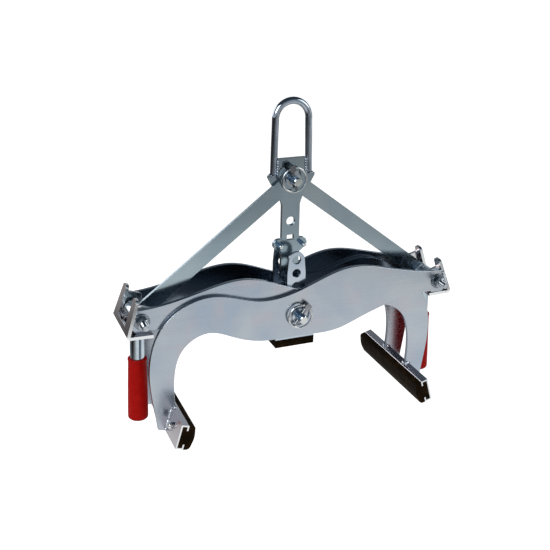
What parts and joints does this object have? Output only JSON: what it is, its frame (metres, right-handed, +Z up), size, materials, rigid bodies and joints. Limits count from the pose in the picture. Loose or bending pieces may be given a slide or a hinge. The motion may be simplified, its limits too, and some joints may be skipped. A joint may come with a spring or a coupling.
{
  "type": "lifting tongs",
  "caption": "Scissor lifting tongs with crossing double-plate arms, padded jaws, red-grip handles, ties to a hanger with a suspension eye, and a pinned depth stop",
  "frame": {"origin": "middle of the stand, on the surface that the jaw pads stand on", "axes": "+X to the right along the tongs, +Y to the rear through the arm plates, +Z up to the eye"},
  "size_m": [0.6594, 0.245, 0.6042],
  "materials": {
    "zinc_arm": "bright zinc plate, soft streaks",
    "zinc_satin": "satin zinc plate",
    "zinc_bracket": "zinc plate with a faint warm tint",
    "zinc_tube": "bright zinc plated tube",
    "zinc_fastener": "bright zinc plated fasteners",
    "bright_bar": "glossy zinc plated round bar",
    "spring_wire": "bright spring wire",
    "red_grip": "dull red soft vinyl",
    "black_rubber": "brown-black rubber"
  },
  "bodies": {
    "centre": {"depth_stop_front_plate": "zinc_satin", "depth_stop_rear_plate": "zinc_satin", "depth_stop_carrier": "zinc_satin", "depth_stop_pad": "black_rubber", "depth_stop_screws": "zinc_fastener", "depth_stop_nuts": "zinc_fastener", "centre_pin": "zinc_fastener", "centre_washers": "zinc_fastener", "centre_spacer_tube": "zinc_tube", "centre_linch_pin": "zinc_fastener"},
    "left_arm": {"left_arm_front_plate": "zinc_arm", "left_arm_rear_plate": "zinc_arm", "left_jaw_rail": "zinc_arm", "left_jaw_pad": "black_rubber", "left_jaw_screws": "zinc_fastener", "left_jaw_nuts": "zinc_fastener", "right_handle_bracket": "zinc_bracket", "right_bracket_cheeks": "zinc_bracket", "right_handle_tube": "zinc_tube", "right_handle_grip": "red_grip", "right_end_bolt": "zinc_fastener", "right_end_washers": "zinc_fastener", "right_end_nut": "zinc_fastener"},
    "right_arm": {"right_arm_front_plate": "zinc_arm", "right_arm_rear_plate": "zinc_arm", "right_jaw_rail": "zinc_arm", "right_jaw_pad": "black_rubber", "right_jaw_screws": "zinc_fastener", "right_jaw_nuts": "zinc_fastener", "left_handle_bracket": "zinc_bracket", "left_bracket_cheeks": "zinc_bracket", "left_handle_tube": "zinc_tube", "left_handle_grip": "red_grip", "left_end_bolt": "zinc_fastener", "left_end_washers": "zinc_fastener", "left_end_nut": "zinc_fastener"},
    "hanger": {"hanger_plate": "zinc_satin", "hanger_pegs": "zinc_fastener", "suspension_eye": "bright_bar", "top_pin": "zinc_fastener", "top_washers": "zinc_fastener", "top_linch_pin": "zinc_fastener"},
    "left_tie": {"left_tie_bar": "zinc_satin", "left_tie_bush": "zinc_tube"},
    "right_tie": {"right_tie_bar": "zinc_satin", "right_tie_bush": "zinc_tube"},
    "top_ring": {"top_linch_ring": "spring_wire"},
    "centre_ring": {"centre_linch_ring": "spring_wire"}
  },
  "joints": [
    {"name": "tongs_fold", "type": "hinge", "parent": "centre", "child": "left_arm", "pos_m": [0, 0, 0.20168], "axis": [0, -1, 0], "range_deg": [0, 20]},
    {"name": "right_arm_fold", "type": "hinge", "parent": "centre", "child": "right_arm", "pos_m": [0, 0, 0.20168], "axis": [0, 1, 0], "range_deg": [0, 20]},
    {"name": "hanger_lift", "type": "slide", "parent": "centre", "child": "hanger", "axis": [0, 0, 1], "range_m": [0, 0.1378]},
    {"name": "left_tie_swing", "type": "hinge", "parent": "hanger", "child": "left_tie", "pos_m": [0, 0, 0.45568], "axis": [0, -1, 0], "range_deg": [0, 6.05]},
    {"name": "right_tie_swing", "type": "hinge", "parent": "hanger", "child": "right_tie", "pos_m": [0, 0, 0.45568], "axis": [0, 1, 0], "range_deg": [0, 6.05]},
    {"name": "top_ring_swing", "type": "hinge", "parent": "hanger", "child": "top_ring", "pos_m": [-0.00556, -0.0175, 0.478], "axis": [-0.9703, 0, -0.2419], "range_deg": [0, 150]},
    {"name": "centre_ring_swing", "type": "hinge", "parent": "centre", "child": "centre_ring", "pos_m": [0.01319, -0.0622, 0.22052], "axis": [-0.8192, 0, 0.5736], "range_deg": [0, 150]}
  ],
  "couplings": [
    {"joint": "right_arm_fold", "follows": "tongs_fold", "ratio": 1},
    {"joint": "hanger_lift", "follows": "tongs_fold", "m_per_rad": 0.394},
    {"joint": "left_tie_swing", "follows": "tongs_fold", "ratio": 0.3},
    {"joint": "right_tie_swing", "follows": "tongs_fold", "ratio": 0.3}
  ]
}
